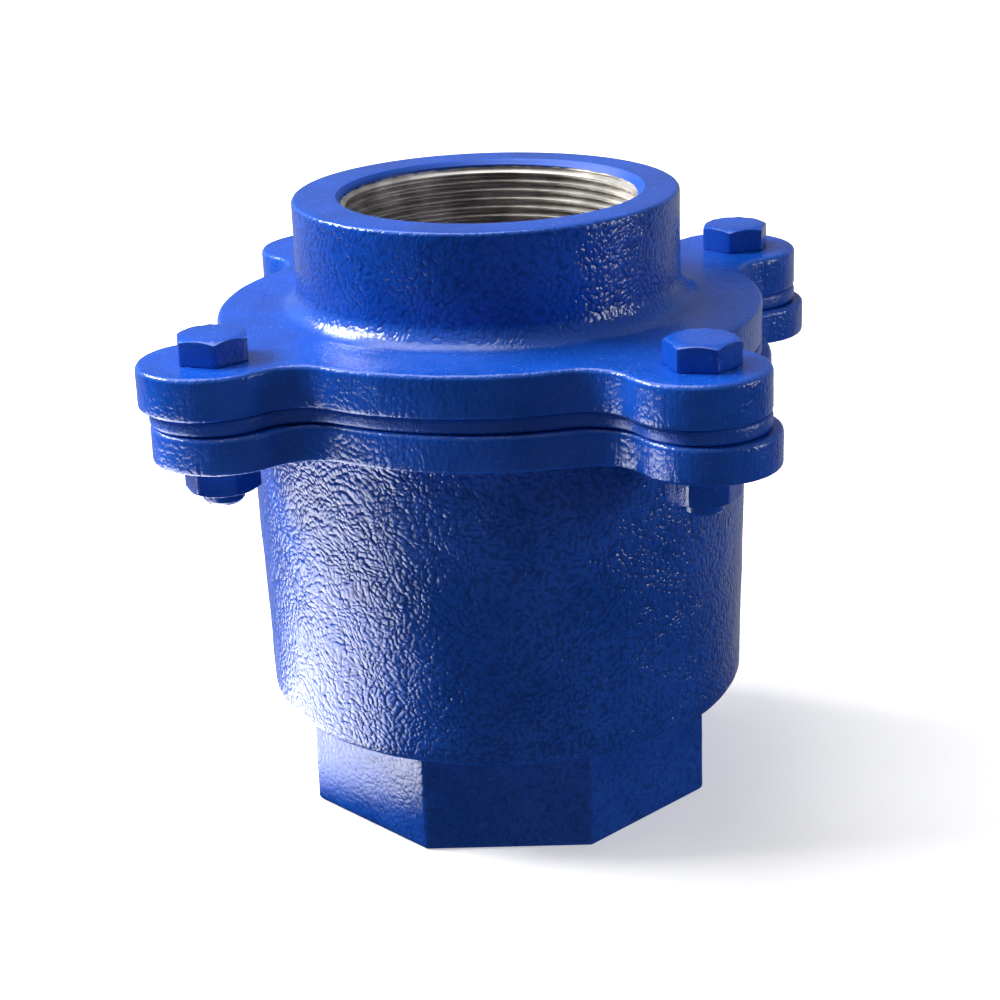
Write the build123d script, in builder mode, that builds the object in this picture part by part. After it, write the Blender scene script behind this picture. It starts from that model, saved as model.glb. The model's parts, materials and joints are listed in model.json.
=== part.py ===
from build123d import *
import math
import os

os.makedirs("parts", exist_ok=True)

# ---------------------------------------------------------------------------
# Driving dimensions, in millimetres.  The origin is the middle of the inlet
# face, +Z runs up the flow axis to the outlet.
# ---------------------------------------------------------------------------

# Pipe threads: both ports take a 2 1/2 inch BSP pipe, cut to its major diameter.
thread_r = 75.184 / 2
port_chamfer = 0.8
inlet_depth = 24.0
outlet_depth = 26.0

# Heights of the outside, from the inlet face upwards.
boss_top = 27.0
gasket_bottom = 114.6
gasket_thick = 4.0
cover_bottom = gasket_bottom + gasket_thick
cover_flange_thick = 10.5
body_flange_thick = 9.0
height = 157.0

# Outside radii.
boss_apothem = 50.4
boss_turn = -1.5
drum_bottom_r = 61.6
drum_top_r = 63.4
hub_r = 48.2

# The two flanges share one outline: a disc with four ears for the bolts.
flange_r = 68.5
bolt_circle_r = 80.5
ear_r = 17.2
ear_blend = 12.0
ear_turn = 35.0
gasket_inset = 1.1
mould_shift = 1.2

# Chamber and the seat.
chamber_r = 54.5
floor_z = 33.0
seat_bore_r = 31.0
skirt_r = 35.0
seat_flange_r = 42.0
seat_flange_top = 38.0
seat_z = 60.0

# Upper guide, let into the underside of the cover.
guide_rim_r = 59.0
guide_rim_bore_r = 51.0
guide_rim_thick = 5.0
rim_clearance = 0.2
guide_hub_r = 10.0
guide_hub_bottom = 106.0
guide_hub_top = 115.5

# Stem and what it carries.
stem_r = 4.0
bush_clearance = 0.05
stem_bottom = 24.6
stem_top = 116.9
lift = 14.0
collar_r = 8.5
thread_stem_r = 5.0
facing_thick = 5.0
disc_thick = 5.5
plate_thick = 3.0
washer_thick = 1.4
nut_thick = 6.0

# Bolts: M10 hexagon, 16 mm across flats.
bolt_r = 5.0
bolt_hole_r = 5.6
hex_flats = 16.0
head_thick = 6.4
bolt_length = 35.0
flange_nut_thick = 8.4

# Closing spring.
wire_r = 0.8
spring_r = 12.4
spring_turns = 5.5

bolt_angles = [ear_turn + 90 * quarter for quarter in range(4)]
body_flange_bottom = gasket_bottom - body_flange_thick
cover_flange_top = cover_bottom + cover_flange_thick
disc_bottom = seat_z + facing_thick
disc_top = disc_bottom + disc_thick
plate_bottom = seat_z - plate_thick
washer_bottom = plate_bottom - washer_thick
stem_nut_bottom = washer_bottom - nut_thick


def flange_outline(plane, shift=0.0, inset=0.0):
    """Return the eared flange outline on the plane, the necks of its ears blended."""
    with BuildSketch(plane) as outline:
        with Locations(Location((shift, 0, 0), (0, 0, ear_turn))):
            Circle(flange_r - inset)
            with PolarLocations(bolt_circle_r, 4):
                Circle(ear_r - inset)
        middle = Vector(shift, 0, 0)
        necks = outline.vertices().group_by(lambda corner: round((Vector(*corner) - middle).length, 1))[0]
        fillet(necks, radius=ear_blend + inset)
    return outline.sketch


def bolt_circles(plane):
    """Return the four bolt holes as circles on the plane."""
    with BuildSketch(plane) as holes:
        with PolarLocations(bolt_circle_r, 4, start_angle=ear_turn):
            Circle(bolt_hole_r)
    return holes.sketch


def finish(part, name, colour):
    """Label, colour and write one finished piece."""
    part.label = name
    part.color = Color(*colour)
    export_step(part, f"parts/{name}.step")
    print(f"{name}: {len(part.solids())} solid(s), {part.volume:.0f} mm3")


enamel = (0.05, 0.12, 0.55)
bronze = (0.72, 0.52, 0.25)
steel = (0.70, 0.71, 0.72)
black_rubber = (0.06, 0.06, 0.06)

# ---------------------------------------------------------------------------
# Valve body: an octagonal inlet boss, a tapering drum and the lower flange.
# ---------------------------------------------------------------------------
drum_edge = 4.5
boss_edge = 1.4
floor_blend = 7.0
flange_edge = 1.2

with BuildPart() as valve_body:
    with BuildSketch(Plane.XY):
        RegularPolygon(boss_apothem, 8, major_radius=False, rotation=22.5 + boss_turn)
    extrude(amount=boss_top + 1)
    fillet(valve_body.edges().filter_by(Axis.Z), radius=boss_edge)
    fillet(valve_body.faces().sort_by(Axis.Z)[0].edges(), radius=boss_edge)
    with BuildSketch(Plane.XZ):
        with BuildLine():
            Polyline(
                (0, boss_top),
                (drum_bottom_r, boss_top),
                (drum_top_r, body_flange_bottom + 1),
                (0, body_flange_bottom + 1),
                close=True,
            )
        make_face()
        outer_foot = vertices().group_by(Axis.Y)[0].sort_by(Axis.X)[-1]
        fillet(outer_foot, radius=drum_edge)
    revolve(axis=Axis.Z)
    extrude(flange_outline(Plane.XY.offset(body_flange_bottom), shift=mould_shift), amount=body_flange_thick)
    rim = valve_body.faces().filter_by(GeomType.PLANE).filter_by(Axis.Z).sort_by(Axis.Z)[-1]
    fillet(rim.outer_wire().edges(), radius=flange_edge)
    with BuildSketch(Plane.XZ):
        with BuildLine():
            Polyline(
                (0, -1),
                (thread_r + port_chamfer + 1, -1),
                (thread_r, port_chamfer),
                (thread_r, inlet_depth),
                (skirt_r, inlet_depth),
                (skirt_r, floor_z),
                (chamber_r, floor_z),
                (chamber_r, gasket_bottom + 1),
                (0, gasket_bottom + 1),
                close=True,
            )
        make_face()
        floor_corner = vertices().group_by(Axis.X)[-1].sort_by(Axis.Y)[0]
        fillet(floor_corner, radius=floor_blend)
    revolve(axis=Axis.Z, mode=Mode.SUBTRACT)
    extrude(
        bolt_circles(Plane.XY.offset(body_flange_bottom - 1)),
        amount=body_flange_thick + 2,
        mode=Mode.SUBTRACT,
    )
finish(valve_body.part, "valve_body", enamel)

# ---------------------------------------------------------------------------
# Cover: the upper flange and the round outlet hub.
# ---------------------------------------------------------------------------
hub_blend = 7.0
hub_edge = 1.0
pipe_stop_r = 34.5
stop_thick = 2.0
guide_recess_top = cover_bottom + guide_rim_thick
cone_r = 50.0

with BuildPart() as cover:
    extrude(flange_outline(Plane.XY.offset(cover_bottom), shift=-mould_shift), amount=cover_flange_thick)
    fillet(cover.faces().sort_by(Axis.Z)[-1].edges(), radius=flange_edge)
    with BuildSketch(Plane.XY.offset(cover_flange_top - 1)):
        with Locations((-mould_shift, 0)):
            Circle(hub_r)
    extrude(amount=height - cover_flange_top + 1)
    fillet(cover.faces().sort_by(Axis.Z)[-1].edges(), radius=hub_edge)
    hub_foot = cover.edges().filter_by(GeomType.CIRCLE).filter_by(
        lambda edge: abs(edge.center().Z - cover_flange_top) < 0.01 and abs(edge.radius - hub_r) < 0.01
    )
    fillet(hub_foot, radius=hub_blend)
    with BuildSketch(Plane.XZ):
        with BuildLine():
            Polyline(
                (0, cover_bottom - 1),
                (guide_rim_r + rim_clearance, cover_bottom - 1),
                (guide_rim_r + rim_clearance, guide_recess_top),
                (cone_r, guide_recess_top),
                (pipe_stop_r, height - outlet_depth - stop_thick),
                (pipe_stop_r, height - outlet_depth),
                (thread_r, height - outlet_depth),
                (thread_r, height - port_chamfer),
                (thread_r + port_chamfer + 1, height + 1),
                (0, height + 1),
                close=True,
            )
        make_face()
    revolve(axis=Axis.Z, mode=Mode.SUBTRACT)
    extrude(
        bolt_circles(Plane.XY.offset(cover_bottom - 1)),
        amount=cover_flange_thick + 2,
        mode=Mode.SUBTRACT,
    )
finish(cover.part, "cover", enamel)

# ---------------------------------------------------------------------------
# Flange gasket: a rubber sheet ring cut to the flange outline, a little inside it.
# ---------------------------------------------------------------------------
with BuildPart() as flange_gasket:
    extrude(flange_outline(Plane.XY.offset(gasket_bottom), inset=gasket_inset), amount=gasket_thick)
    with BuildSketch(Plane.XY.offset(gasket_bottom)):
        Circle(chamber_r)
    extrude(amount=gasket_thick, mode=Mode.SUBTRACT)
    extrude(bolt_circles(Plane.XY.offset(gasket_bottom)), amount=gasket_thick, mode=Mode.SUBTRACT)
finish(flange_gasket.part, "flange_gasket", enamel)

# ---------------------------------------------------------------------------
# Seat ring, with the lower guide cast in: three arms and a hub for the bush.
# ---------------------------------------------------------------------------
seat_inner_edge = 1.2
seat_outer_edge = 1.0
throat_r = 36.5
arm_width = 5.0
lower_hub_r = 8.5
lower_hub_bottom = 33.0
lower_hub_top = 45.0
bush_wall = 2.0
bush_r = stem_r + bush_clearance + bush_wall
ring_groove_r = 38.5
ring_section_r = 1.3

with BuildPart() as seat_ring:
    with BuildSketch(Plane.XZ):
        with BuildLine():
            Polyline(
                (seat_bore_r, inlet_depth),
                (skirt_r, inlet_depth),
                (skirt_r, floor_z),
                (seat_flange_r, floor_z),
                (seat_flange_r, seat_flange_top),
                (throat_r, seat_flange_top),
                (throat_r, seat_z - seat_outer_edge),
                (throat_r - seat_outer_edge, seat_z),
                (seat_bore_r + seat_inner_edge, seat_z),
                (seat_bore_r, seat_z - seat_inner_edge),
                close=True,
            )
        make_face()
    revolve(axis=Axis.Z)
    for arm_angle in (90, 210, 330):
        with BuildSketch(Plane.XY.offset(lower_hub_bottom).rotated((0, 0, arm_angle))):
            with Locations((seat_bore_r / 2 + 0.25, 0)):
                Rectangle(seat_bore_r + 0.5, arm_width)
        extrude(amount=lower_hub_top - lower_hub_bottom)
    with BuildSketch(Plane.XY.offset(lower_hub_bottom)):
        Circle(lower_hub_r)
    extrude(amount=lower_hub_top - lower_hub_bottom)
    with BuildSketch(Plane.XY.offset(lower_hub_bottom - 1)):
        Circle(bush_r)
    extrude(amount=lower_hub_top - lower_hub_bottom + 2, mode=Mode.SUBTRACT)
    with BuildSketch(Plane.XZ):
        with Locations((ring_groove_r, floor_z)):
            Rectangle(ring_section_r * 2.4, ring_section_r * 4)
    revolve(axis=Axis.Z, mode=Mode.SUBTRACT)
finish(seat_ring.part, "seat_ring", bronze)

# Rubber ring under the seat flange, pressed square into its groove.
with BuildPart() as seat_o_ring:
    with BuildSketch(Plane.XZ):
        with Locations((ring_groove_r, floor_z + ring_section_r)):
            Circle(ring_section_r)
    revolve(axis=Axis.Z)
finish(seat_o_ring.part, "seat_o_ring", black_rubber)

# Lower bush, pressed into the hub of the seat ring.
with BuildPart() as lower_bush:
    with BuildSketch(Plane.XY.offset(lower_hub_bottom)):
        Circle(bush_r)
        Circle(stem_r + bush_clearance, mode=Mode.SUBTRACT)
    extrude(amount=lower_hub_top - lower_hub_bottom)
finish(lower_bush.part, "lower_bush", bronze)

# ---------------------------------------------------------------------------
# Upper guide: a three-armed bridge whose rim is clamped under the cover.
# ---------------------------------------------------------------------------
bridge_bottom = 110.0
bridge_top = 121.5
bridge_width = 6.0
clip_room_r = 12.0
bridge_reach = 53.0
spring_land_r = 15.0
spring_land_thick = 3.0

with BuildPart() as upper_guide:
    with BuildSketch(Plane.XY.offset(cover_bottom)):
        Circle(guide_rim_r)
        Circle(guide_rim_bore_r, mode=Mode.SUBTRACT)
    extrude(amount=guide_rim_thick)
    for arm_angle in (30, 150, 270):
        with BuildSketch(Plane.XY.offset(bridge_bottom).rotated((0, 0, arm_angle))):
            with Locations((bridge_reach / 2, 0)):
                Rectangle(bridge_reach, bridge_width)
        extrude(amount=bridge_top - bridge_bottom)
    with BuildSketch(Plane.XY.offset(guide_hub_top)):
        Circle(clip_room_r)
    extrude(amount=bridge_top - guide_hub_top, mode=Mode.SUBTRACT)
    with BuildSketch(Plane.XY.offset(guide_hub_bottom)):
        Circle(guide_hub_r)
    extrude(amount=guide_hub_top - guide_hub_bottom)
    with BuildSketch(Plane.XY.offset(guide_hub_bottom)):
        Circle(spring_land_r)
    extrude(amount=spring_land_thick)
    with BuildSketch(Plane.XY.offset(guide_hub_bottom - 1)):
        Circle(bush_r)
    extrude(amount=guide_hub_top - guide_hub_bottom + 2, mode=Mode.SUBTRACT)
finish(upper_guide.part, "upper_guide", bronze)

# Upper bush: stands a little above the guide's hub, where the circlip holds it.
bush_flange_r = 8.0
bush_flange_thick = 1.6
bush_head = 2.2
clip_groove_depth = 0.8
clip_thick = 1.2
clip_z = guide_hub_top
clip_r = 8.2
clip_gap = 4.0

with BuildPart() as upper_bush:
    with BuildSketch(Plane.XZ):
        with BuildLine():
            Polyline(
                (stem_r + bush_clearance, guide_hub_bottom - bush_flange_thick),
                (bush_flange_r, guide_hub_bottom - bush_flange_thick),
                (bush_flange_r, guide_hub_bottom),
                (bush_r, guide_hub_bottom),
                (bush_r, clip_z),
                (bush_r - clip_groove_depth, clip_z),
                (bush_r - clip_groove_depth, clip_z + clip_thick),
                (bush_r, clip_z + clip_thick),
                (bush_r, guide_hub_top + bush_head),
                (stem_r + bush_clearance, guide_hub_top + bush_head),
                close=True,
            )
        make_face()
    revolve(axis=Axis.Z)
finish(upper_bush.part, "upper_bush", bronze)

with BuildPart() as guide_circlip:
    with BuildSketch(Plane.XY.offset(clip_z)):
        Circle(clip_r)
        Circle(bush_r - clip_groove_depth, mode=Mode.SUBTRACT)
        with Locations((0, -clip_r)):
            Rectangle(clip_gap, clip_r * 2, mode=Mode.SUBTRACT)
    extrude(amount=clip_thick)
finish(guide_circlip.part, "guide_circlip", steel)

# ---------------------------------------------------------------------------
# Disc assembly, which lifts off the seat.
# ---------------------------------------------------------------------------
disc_r = 38.0
disc_hub_r = 15.5
disc_hub_rise = 2.0
collar_thick = 3.0
cup_thick = 1.0
cup_r = 14.6
cup_lip = 3.0
facing_r = 37.0
plate_r = 27.0
nut_flats = 15.0
washer_r = 8.5
collar_bottom = disc_top + disc_hub_rise
pin_r = 1.0
pin_z = 47.6
pin_length = 14.0
pin_eye_bore = 1.2
pin_eye_thick = 1.5
stem_end_chamfer = 1.0
stop_r = 5.5
stop_gap = 0.3
stop_z = guide_hub_bottom - bush_flange_thick - lift - stop_gap

with BuildPart() as stem:
    with BuildSketch(Plane.XZ):
        with BuildLine():
            Polyline(
                (0, stem_bottom),
                (stem_r - stem_end_chamfer, stem_bottom),
                (stem_r, stem_bottom + stem_end_chamfer),
                (stem_r, pin_z - 2),
                (thread_stem_r, pin_z - 1),
                (thread_stem_r, collar_bottom),
                (collar_r, collar_bottom),
                (collar_r, collar_bottom + collar_thick),
                (stop_r, collar_bottom + collar_thick),
                (stop_r, stop_z),
                (stem_r, stop_z),
                (stem_r, stem_top - stem_end_chamfer),
                (stem_r - stem_end_chamfer, stem_top),
                (0, stem_top),
                close=True,
            )
        make_face()
    revolve(axis=Axis.Z)
    with BuildSketch(Plane.XZ):
        with Locations((0, pin_z)):
            Circle(pin_r)
    extrude(amount=thread_stem_r + 1, both=True, mode=Mode.SUBTRACT)
finish(stem.part, "stem", steel)

with BuildPart() as disc:
    with BuildSketch(Plane.XZ):
        with BuildLine():
            Polyline(
                (thread_stem_r, disc_bottom),
                (disc_r, disc_bottom),
                (disc_r, disc_bottom + 3),
                (disc_r - 3, disc_top),
                (disc_hub_r + 2, disc_top),
                (disc_hub_r, collar_bottom),
                (thread_stem_r, collar_bottom),
                close=True,
            )
        make_face()
    revolve(axis=Axis.Z)
finish(disc.part, "disc", bronze)

with BuildPart() as disc_facing:
    with BuildSketch(Plane.XY.offset(seat_z)):
        Circle(facing_r)
        Circle(thread_stem_r, mode=Mode.SUBTRACT)
    extrude(amount=facing_thick)
finish(disc_facing.part, "disc_facing", black_rubber)

with BuildPart() as facing_plate:
    with BuildSketch(Plane.XY.offset(plate_bottom)):
        Circle(plate_r)
        Circle(thread_stem_r, mode=Mode.SUBTRACT)
    extrude(amount=plate_thick)
    fillet(facing_plate.edges().filter_by(GeomType.CIRCLE).group_by(Axis.Z)[0].sort_by(SortBy.RADIUS)[-1], radius=1.2)
finish(facing_plate.part, "facing_plate", bronze)

with BuildPart() as lock_washer:
    with BuildSketch(Plane.XY.offset(washer_bottom)):
        Circle(washer_r)
        Circle(thread_stem_r, mode=Mode.SUBTRACT)
    extrude(amount=washer_thick)
finish(lock_washer.part, "lock_washer", steel)

with BuildPart() as stem_nut:
    with BuildSketch(Plane.XY.offset(stem_nut_bottom)):
        RegularPolygon(nut_flats / 2, 6, major_radius=False)
        Circle(thread_stem_r, mode=Mode.SUBTRACT)
    extrude(amount=nut_thick)
finish(stem_nut.part, "stem_nut", steel)

with BuildPart() as split_pin:
    with BuildSketch(Plane.XZ.offset(-pin_length / 2)):
        with Locations((0, pin_z)):
            Circle(pin_r)
    extrude(amount=pin_length)
    with BuildSketch(Plane.XY.offset(pin_z - pin_eye_thick / 2)):
        with Locations((0, pin_length / 2 + pin_eye_bore / 2)):
            Circle(pin_eye_bore + pin_r)
            Circle(pin_eye_bore, mode=Mode.SUBTRACT)
    extrude(amount=pin_eye_thick)
finish(split_pin.part, "split_pin", steel)

# Spring cup: a pressed washer with an upturned lip, which centres the spring.
with BuildPart() as spring_cup:
    with BuildSketch(Plane.XZ):
        with BuildLine():
            Polyline(
                (collar_r + 0.3, collar_bottom),
                (cup_r, collar_bottom),
                (cup_r, collar_bottom + cup_lip),
                (cup_r - cup_thick, collar_bottom + cup_lip),
                (cup_r - cup_thick, collar_bottom + cup_thick),
                (collar_r + 0.3, collar_bottom + cup_thick),
                close=True,
            )
        make_face()
    revolve(axis=Axis.Z)
finish(spring_cup.part, "spring_cup", steel)

# ---------------------------------------------------------------------------
# Closing spring, between the cup and the underside of the upper guide.
# ---------------------------------------------------------------------------
spring_gap = 0.05
spring_bottom = collar_bottom + cup_thick + wire_r + spring_gap
spring_top = guide_hub_bottom - wire_r - spring_gap
spring_height = spring_top - spring_bottom

with BuildPart() as closing_spring:
    with BuildLine(Plane.XY.offset(spring_bottom)) as coil_line:
        Helix(pitch=spring_height / spring_turns, height=spring_height, radius=spring_r - wire_r)
    with BuildSketch(Plane(origin=coil_line.line @ 0, z_dir=coil_line.line % 0)):
        Circle(wire_r)
    sweep(is_frenet=True)
finish(closing_spring.part, "closing_spring", steel)

# ---------------------------------------------------------------------------
# Flange bolts, heads up, and their nuts under the body flange.
# ---------------------------------------------------------------------------
head_turns = [40.0, 12.0, 4.0, 42.0]
head_corner_r = hex_flats / 2 / math.cos(math.pi / 6)
crown_drop = 1.3
crown_r = hex_flats / 2 * 0.95

with BuildPart() as one_bolt:
    with BuildSketch(Plane.XY.offset(cover_flange_top)):
        RegularPolygon(hex_flats / 2, 6, major_radius=False)
    extrude(amount=head_thick)
    with BuildSketch(Plane.XZ):
        with BuildLine():
            Polyline(
                (0, cover_flange_top),
                (head_corner_r, cover_flange_top),
                (head_corner_r, cover_flange_top + head_thick - crown_drop),
                (crown_r, cover_flange_top + head_thick),
                (0, cover_flange_top + head_thick),
                close=True,
            )
        make_face()
    revolve(axis=Axis.Z, mode=Mode.INTERSECT)
    with BuildSketch(Plane.XY.offset(cover_flange_top - bolt_length)):
        Circle(bolt_r)
    extrude(amount=bolt_length)
    chamfer(one_bolt.faces().sort_by(Axis.Z)[0].edges(), length=0.9)

with BuildPart() as one_nut:
    with BuildSketch(Plane.XY.offset(body_flange_bottom - flange_nut_thick)):
        RegularPolygon(hex_flats / 2, 6, major_radius=False)
    extrude(amount=flange_nut_thick)
    with BuildSketch(Plane.XZ):
        with BuildLine():
            Polyline(
                (bolt_r, body_flange_bottom),
                (head_corner_r, body_flange_bottom),
                (head_corner_r, body_flange_bottom - flange_nut_thick + crown_drop),
                (crown_r, body_flange_bottom - flange_nut_thick),
                (bolt_r, body_flange_bottom - flange_nut_thick),
                close=True,
            )
        make_face()
    revolve(axis=Axis.Z, mode=Mode.INTERSECT)


def around_flange(piece, turns):
    """Return the piece copied to the four bolt places, each turned on its own axis."""
    places = zip(bolt_angles, turns)
    return Compound(
        children=[
            Rot(0, 0, angle) * Pos(bolt_circle_r, 0, 0) * Rot(0, 0, turn) * piece for angle, turn in places
        ]
    )


finish(around_flange(one_bolt.part, head_turns), "flange_bolts", enamel)
finish(around_flange(one_nut.part, [turn + 17 for turn in head_turns]), "flange_nuts", enamel)
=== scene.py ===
import json
import logging
import math
from dataclasses import dataclass, field
from enum import Enum
from typing import Callable

import bmesh
import bpy
import numpy as np
from mathutils import Matrix, Vector, noise


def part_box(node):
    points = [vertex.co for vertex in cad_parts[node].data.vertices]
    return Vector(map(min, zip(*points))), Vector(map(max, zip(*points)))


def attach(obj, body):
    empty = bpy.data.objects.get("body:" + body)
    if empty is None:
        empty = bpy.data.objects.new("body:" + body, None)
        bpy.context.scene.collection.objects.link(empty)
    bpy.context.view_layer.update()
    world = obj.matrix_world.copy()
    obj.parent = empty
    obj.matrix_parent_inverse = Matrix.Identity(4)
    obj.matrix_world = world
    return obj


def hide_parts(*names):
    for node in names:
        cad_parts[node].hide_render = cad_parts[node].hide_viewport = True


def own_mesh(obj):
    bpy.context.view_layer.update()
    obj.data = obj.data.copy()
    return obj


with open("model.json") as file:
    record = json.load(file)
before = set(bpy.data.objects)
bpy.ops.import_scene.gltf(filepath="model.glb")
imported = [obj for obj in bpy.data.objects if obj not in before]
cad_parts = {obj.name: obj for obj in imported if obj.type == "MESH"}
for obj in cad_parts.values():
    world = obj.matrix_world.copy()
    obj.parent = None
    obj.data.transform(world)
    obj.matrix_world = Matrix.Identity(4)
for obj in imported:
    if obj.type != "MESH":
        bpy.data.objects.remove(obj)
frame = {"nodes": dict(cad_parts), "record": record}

LOG = logging.getLogger("foot_valve")
Socket = bpy.types.NodeSocket
Mesh = bmesh.types.BMesh
Point = tuple[float, float]
Triple = tuple[float, float, float]
MM = 0.001
PER_METRE = 1000.0
TURN = 2 * math.pi
ROOT = "root"
HAIR = 0.01 * MM
WHITE = (1.0, 1.0, 1.0, 1.0)
BLUE = (0.0033, 0.077, 0.505)


class Edge(Enum):
    """The end of a hexagon that has its corners turned off."""

    TOP = "top"
    BOTTOM = "bottom"


# ----- Outlines and profiles -----


def polar(radius: float, angle: float) -> Point:
    """Give x and y of a radius and an angle."""
    return radius * math.cos(angle), radius * math.sin(angle)


def arc(centre: Point, radius: float, start: float, sweep: float, steps: int = 48) -> list[Point]:
    """Walk an arc in small steps.

    Args:
        centre: Middle of the arc.
        radius: Its radius.
        start: Angle of its first point.
        sweep: Signed angle it runs through.
        steps: Number of steps.

    Returns:
        The points, both ends included.
    """
    spokes = [polar(radius, start + sweep * step / steps) for step in range(steps + 1)]
    return [(centre[0] + x, centre[1] + y) for x, y in spokes]


@dataclass
class Outline:
    """A closed outline, read by the share of its length, with its outward normal."""

    corners: np.ndarray
    turn: float
    samples: int = 4320
    points: np.ndarray = field(init=False)
    normals: np.ndarray = field(init=False)

    def __post_init__(self) -> None:
        """Resample the outline to even steps and work out its normals."""
        loop = np.vstack([self.corners, self.corners[:1]])
        lengths = np.concatenate([[0.0], np.cumsum(np.hypot(*np.diff(loop, axis=0).T))])
        marks = np.arange(self.samples) / self.samples * lengths[-1]
        self.points = np.column_stack([np.interp(marks, lengths, loop[:, axis]) for axis in (0, 1)])
        tangent = np.roll(self.points, -2, axis=0) - np.roll(self.points, 2, axis=0)
        tangent /= np.hypot(*tangent.T)[:, None]
        self.normals = np.column_stack([tangent[:, 1], -tangent[:, 0]])

    def at(self, angle: float, offset: float) -> Point:
        """Give the place that an angle on the plain circle comes to, moved outwards by an offset."""
        index = round((angle - self.turn) / TURN * self.samples) % self.samples
        place = self.points[index] + self.normals[index] * offset
        return float(place[0]), float(place[1])


def eared_outline(flange_r: float, circle_r: float, ear_r: float, blend: float, turn: float) -> Outline:
    """Draw the flange outline, a disc with four blended ears.

    Args:
        flange_r: Radius of the disc.
        circle_r: Radius of the bolt circle.
        ear_r: Radius of an ear.
        blend: Radius of the hollow between ear and disc.
        turn: Angle of the first ear, in radians.

    Returns:
        The outline, starting on the first ear's axis.
    """
    reach, span = flange_r + blend, ear_r + blend
    at_middle = math.acos((reach**2 + circle_r**2 - span**2) / (2 * reach * circle_r))
    at_ear = math.acos((circle_r**2 + span**2 - reach**2) / (2 * circle_r * span))
    at_blend = math.pi - at_middle - at_ear
    corners: list[Point] = []
    for quarter in range(4):
        axis = turn + quarter * TURN / 4
        follower = axis + TURN / 4
        ear, next_ear = polar(circle_r, axis), polar(circle_r, follower)
        hollow, next_hollow = polar(reach, axis + at_middle), polar(reach, follower - at_middle)
        corners += arc(ear, ear_r, axis, math.pi - at_ear)[:-1]
        corners += arc(hollow, blend, axis - at_ear, -at_blend)[:-1]
        corners += arc((0, 0), flange_r, axis + at_middle, TURN / 4 - 2 * at_middle)[:-1]
        corners += arc(next_hollow, blend, follower - at_middle + math.pi, -at_blend)[:-1]
        corners += arc(next_ear, ear_r, follower + at_ear - math.pi, math.pi - at_ear)[:-1]
    return Outline(np.array(corners), turn)


def polygon_outline(sides: int, apothem: float, rounding: float, turn: float) -> Outline:
    """Draw a regular polygon with rounded corners.

    Args:
        sides: Number of sides.
        apothem: Half the distance across its flats.
        rounding: Radius of its corners.
        turn: Angle of the first corner, in radians.

    Returns:
        The outline, starting at the first corner.
    """
    steps = 48
    corner_r = (apothem - rounding) / math.cos(math.pi / sides)
    corners: list[Point] = []
    for side in range(sides):
        angle = turn + side * TURN / sides
        corners += arc(polar(corner_r, angle), rounding, angle - math.pi / sides, TURN / sides, steps)
    return Outline(np.roll(np.array(corners), -(steps // 2), axis=0), turn)


@dataclass(frozen=True)
class Corner:
    """A corner of a profile, in metres, its rounding, and the step from it to the next."""

    r: float
    z: float
    rounding: float = 0.0
    step: float = 2.0 * MM


def rounded_profile(corners: list[Corner], closed: bool = True) -> list[Point]:
    """Round a profile's corners and divide its straight runs.

    Args:
        corners: The corners in order.
        closed: Whether the last corner joins the first.

    Returns:
        The points of the profile as radius and height.
    """
    points: list[Point] = []
    count = len(corners)
    trims: list[tuple[Vector, Vector, list[Vector]]] = []
    for index, corner in enumerate(corners):
        here = Vector((corner.r, corner.z))
        inner = closed or 0 < index < count - 1
        if corner.rounding == 0.0 or not inner:
            trims.append((here, here, []))
            continue
        to_last = (Vector((corners[index - 1].r, corners[index - 1].z)) - here).normalized()
        follower = corners[(index + 1) % count]
        to_next = (Vector((follower.r, follower.z)) - here).normalized()
        half = math.acos(max(-1.0, min(1.0, to_last.dot(to_next)))) / 2
        reach = corner.rounding / math.tan(half)
        start, end = here + to_last * reach, here + to_next * reach
        centre = here + (to_last + to_next).normalized() * corner.rounding / math.sin(half)
        sweep = math.pi - 2 * half
        steps = max(3, math.ceil(corner.rounding * sweep / (0.5 * MM)))
        curve = []
        for step in range(1, steps):
            mix = math.sin(sweep * (1 - step / steps)) / math.sin(sweep)
            rest = math.sin(sweep * step / steps) / math.sin(sweep)
            curve.append(centre + (start - centre) * mix + (end - centre) * rest)
        trims.append((start, end, curve))
    for index, (start, end, curve) in enumerate(trims):
        points.append((start.x, start.y))
        points += [(spot.x, spot.y) for spot in curve]
        if curve:
            points.append((end.x, end.y))
        if index == count - 1 and not closed:
            break
        goal = trims[(index + 1) % count][0]
        cuts = max(1, round((goal - end).length / corners[index].step))
        points += [tuple(end.lerp(goal, cut / cuts)) for cut in range(1, cuts)]
    return points


def spin_profile(points: list[Point], steps: int, closed: bool = True) -> Mesh:
    """Spin a profile about Z.

    Args:
        points: Radius and height of each point.
        steps: Number of steps round.
        closed: Whether the last point joins the first.

    Returns:
        The spun mesh, merged where it meets itself.
    """
    mesh = bmesh.new()
    ring = [mesh.verts.new((r, 0.0, z)) for r, z in points]
    pairs = list(zip(ring, ring[1:])) + ([(ring[-1], ring[0])] if closed else [])
    edges = [mesh.edges.new(pair) for pair in pairs]
    bmesh.ops.spin(
        mesh, geom=ring + edges, cent=(0, 0, 0), axis=(0, 0, 1), angle=TURN, steps=steps, use_merge=True
    )
    bmesh.ops.remove_doubles(mesh, verts=mesh.verts, dist=0.002 * MM)
    bmesh.ops.recalc_face_normals(mesh, faces=mesh.faces)
    return mesh


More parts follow.
